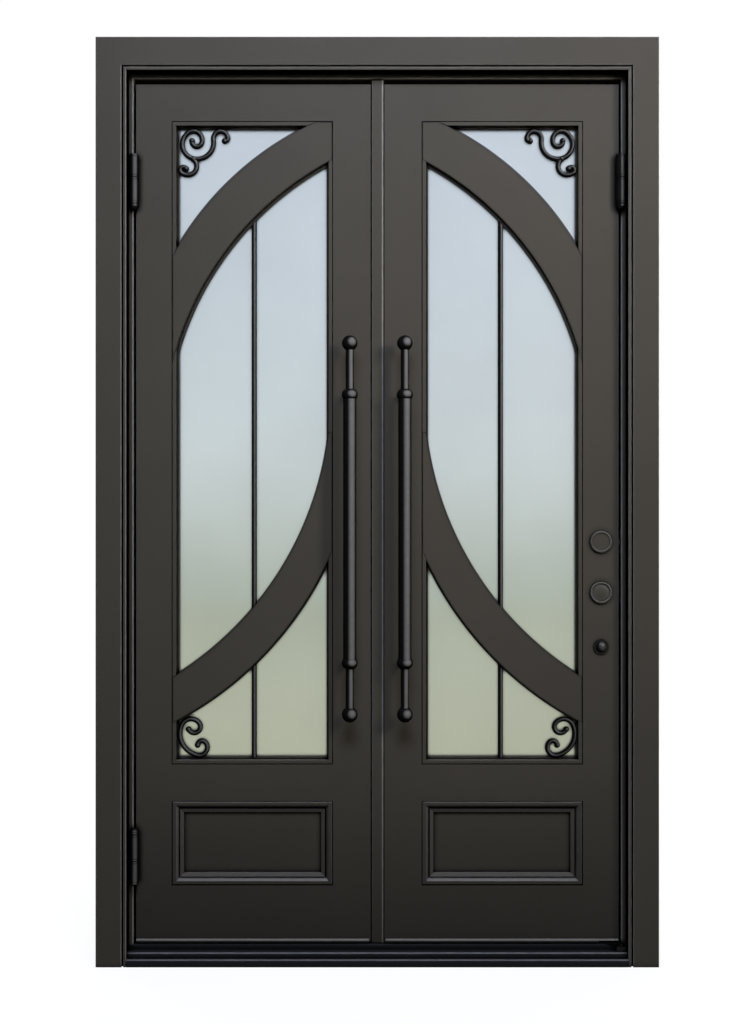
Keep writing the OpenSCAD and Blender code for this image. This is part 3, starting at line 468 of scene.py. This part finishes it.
# All paints have painted shade in crevices and painted highlights on chamfers or edges; their other settings
# add painted top light on upward faces, and painted shade towards the foot and on the rebate walls
materials = {
    "leaf_steel": paint("leaf_paint", LEAF_CREVICE, 2.6, edge_radius=0.0012, top_light=0.5, foot=True),
    "frame_steel": paint("frame_paint", FRAME_CREVICE, 4.0, rebate=True, top_light=0.6),
    "sill_steel": sill_paint("sill_paint"),
    "ironwork": painted_light_iron("painted_light_iron", LIT_IRON_TONE, 0.80),
    "bare_steel": turned_steel("turned_steel"),
    "seal_rubber": rubber("seal_rubber"),
    "glass": frosted_glass("frosted_glass"),
}
# Tubes that are welded and ground flush show no edge where they meet
flush_paint = paint("flush_leaf_paint", LEAF_CREVICE, 4.0, top_light=0.6, foot=True)
# The astragal's shallow slope gets a painted highlight
astragal_paint = paint("astragal_paint", LEAF_CREVICE, 5.0, arris=(0.93, 0.98), foot=True)
# Mouldings and drip lips get painted top light on their upward slopes
ledge_paint = paint("ledge_paint", LEDGE_CREVICE, 2.6, top_light=0.95, foot=True)
# Bands have a painted dark line of shade along their edges
band_paint = paint("band_paint", LEDGE_CREVICE, 0.05, edge_radius=0.0060, foot=True)
# The outside roses are painted with the leaf, with painted highlights on their rims
rose_paint = paint("rose_paint", ROSE_CREVICE, 2.6, arris=(0.86, 0.985), roughness=0.42)
# Scrolls, hinges and glazing bars get less painted light than pulls, inside roses, thumb-turns and the
# button less again, and the bezel and pivot hardly any
dark_iron = painted_light_iron("dark_iron", scaled(LIT_IRON_TONE, 0.65), 0.86)
lock_iron = painted_light_iron("lock_iron", scaled(LIT_IRON_TONE, 0.36), 0.70, sheen=0.15, roughness=0.32)
black_iron = painted_light_iron("black_iron", scaled(LIT_IRON_TONE, 0.10), 0.80)

for part in frame["record"]["subparts"]:
    name = part["node"]
    material = materials[part["material_slot"]]
    if name.endswith(("_stile", "_rail")):
        material = flush_paint
    elif name == "astragal":
        material = astragal_paint
    elif name.endswith(("_sweep", "_mouldings")):
        material = ledge_paint
    elif name.endswith("_band"):
        material = band_paint
    elif name.startswith(("pivot", "bell_housing")):
        material = black_iron
    elif name.startswith("hinge") or any(word in name for word in ("knuckle", "scroll", "glazing_bar")):
        material = dark_iron
    elif name.endswith("_lock_rose"):
        material = rose_paint
    elif name.endswith(("_roses", "_turn", "bell_button")):
        material = lock_iron
    mesh = frame["nodes"][name].data
    mesh.materials.clear()
    mesh.materials.append(material)


def extruded(name, outline, z0, z1):
    """A closed bar with an X-Y outline between two heights."""
    mesh = bpy.data.meshes.new(name)
    work = bmesh.new()
    low = [work.verts.new((x, y, z0)) for x, y in outline]
    high = [work.verts.new((x, y, z1)) for x, y in outline]
    count = len(outline)
    work.faces.new(list(reversed(low)))
    work.faces.new(high)
    for i in range(count):
        j = (i + 1) % count
        work.faces.new((low[i], low[j], high[j], high[i]))
    bmesh.ops.recalc_face_normals(work, faces=work.faces)
    work.to_mesh(mesh)
    work.free()
    piece = bpy.data.objects.new(name, mesh)
    bpy.context.collection.objects.link(piece)
    return piece


# The fin closes the sight line between the leaves
stile_low, stile_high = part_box("left_meeting_stile")
fin = extruded("meeting_seal", FIN_OUTLINE, stile_low.z, stile_high.z)
fin.data.materials.append(materials["seal_rubber"])
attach(fin, "left_leaf")

# Studio: pale floor and white surroundings, with soft light from above, in front and behind
scene = bpy.context.scene
scene.view_settings.view_transform = "Standard"
world = Nodes(bpy.data.worlds.new("studio"))
scene.world = world.owner
sky = world.tree.nodes["Background"]
sky.inputs["Color"].default_value = WHITE
world.link(world.span(world.seen_directly(), SKY_FILL, 1.0), sky.inputs["Strength"])


def stage_plane(name, place, turn, near):
    """A white stage surface that takes shadows. What is seen of it is near white, and full white far off."""
    bpy.ops.mesh.primitive_plane_add(size=STAGE_SIZE, location=place, rotation=turn)
    plane = bpy.context.object
    plane.name = name
    nodes = new_material(name + "_white")
    nodes.put("Base Color", STAGE_BOUNCE)
    nodes.put("Roughness", 0.9)
    nodes.put("Specular IOR Level", 0.0)
    nodes.put("Emission Color", WHITE)
    glow = nodes.span(nodes.vector("LENGTH", nodes.place()), near, 1.0, *STAGE_FADE)
    nodes.feed("Emission Strength", nodes.times(glow, nodes.seen_directly()))
    plane.data.materials.append(nodes.owner)


stage_plane("floor", (0, 0, -0.001), (0, 0, 0), near=0.90)
stage_plane("backdrop", (0, 9.0, 10.0), (QUARTER_TURN, 0, 0), near=1.0)


def soft_light(name, place, target, size, power, colour=(1.0, 1.0, 1.0), spread=HALF_TURN):
    """A flat lamp that faces its target, and that glass doesn't show."""
    lamp = bpy.data.lights.new(name, "AREA")
    lamp.shape = "RECTANGLE"
    lamp.size, lamp.size_y = size
    lamp.energy = power
    lamp.color = colour
    lamp.spread = spread
    holder = bpy.data.objects.new(name, lamp)
    holder.location = place
    holder.visible_transmission = False
    holder.rotation_euler = (Vector(target) - Vector(place)).to_track_quat("-Z", "Y").to_euler()
    bpy.context.collection.objects.link(holder)


soft_light(
    "key", (0.10, -2.8, 3.95), (0.1, 0.0, 1.7), size=(2.0, 1.2), power=180, colour=(0.86, 0.97, 1.23),
)
soft_light(
    "front", (0.1, -4.1, 1.0), (0.1, 0.0, 0.9), size=(0.9, 1.8), power=7, colour=(1.0, 0.90, 0.62),
)
soft_light(
    "right_strip", (3.0, -3.2, 3.0), (0.3, 0.0, 2.0), size=(0.8, 1.2), power=33, colour=(1.0, 0.96, 0.88),
    spread=1.22,
)
soft_light("back", (0.0, 3.4, 3.4), (0.0, 0.0, 1.4), size=(3.0, 1.4), power=50)
for side, x in (("left", -3.6), ("right", 3.6)):
    soft_light("back_" + side, (x, 2.6, 1.9), (0.0, 0.0, 1.2), size=(1.0, 2.0), power=70)

camera_data = bpy.data.cameras.new("camera")
camera = bpy.data.objects.new("camera", camera_data)
bpy.context.collection.objects.link(camera)
view_height = IMAGE_H * MM_PER_PIXEL / 1000
camera_data.sensor_width = SENSOR
camera_data.lens = SENSOR * EYE_DISTANCE / view_height
camera_data.shift_y = (MIDDLE_Z - EYE_HEIGHT) / view_height
camera.location = (EYE_X, FACE_Y - EYE_DISTANCE, EYE_HEIGHT)
camera.rotation_euler = Vector((0, 1, 0)).to_track_quat("-Z", "Y").to_euler()
scene.camera = camera
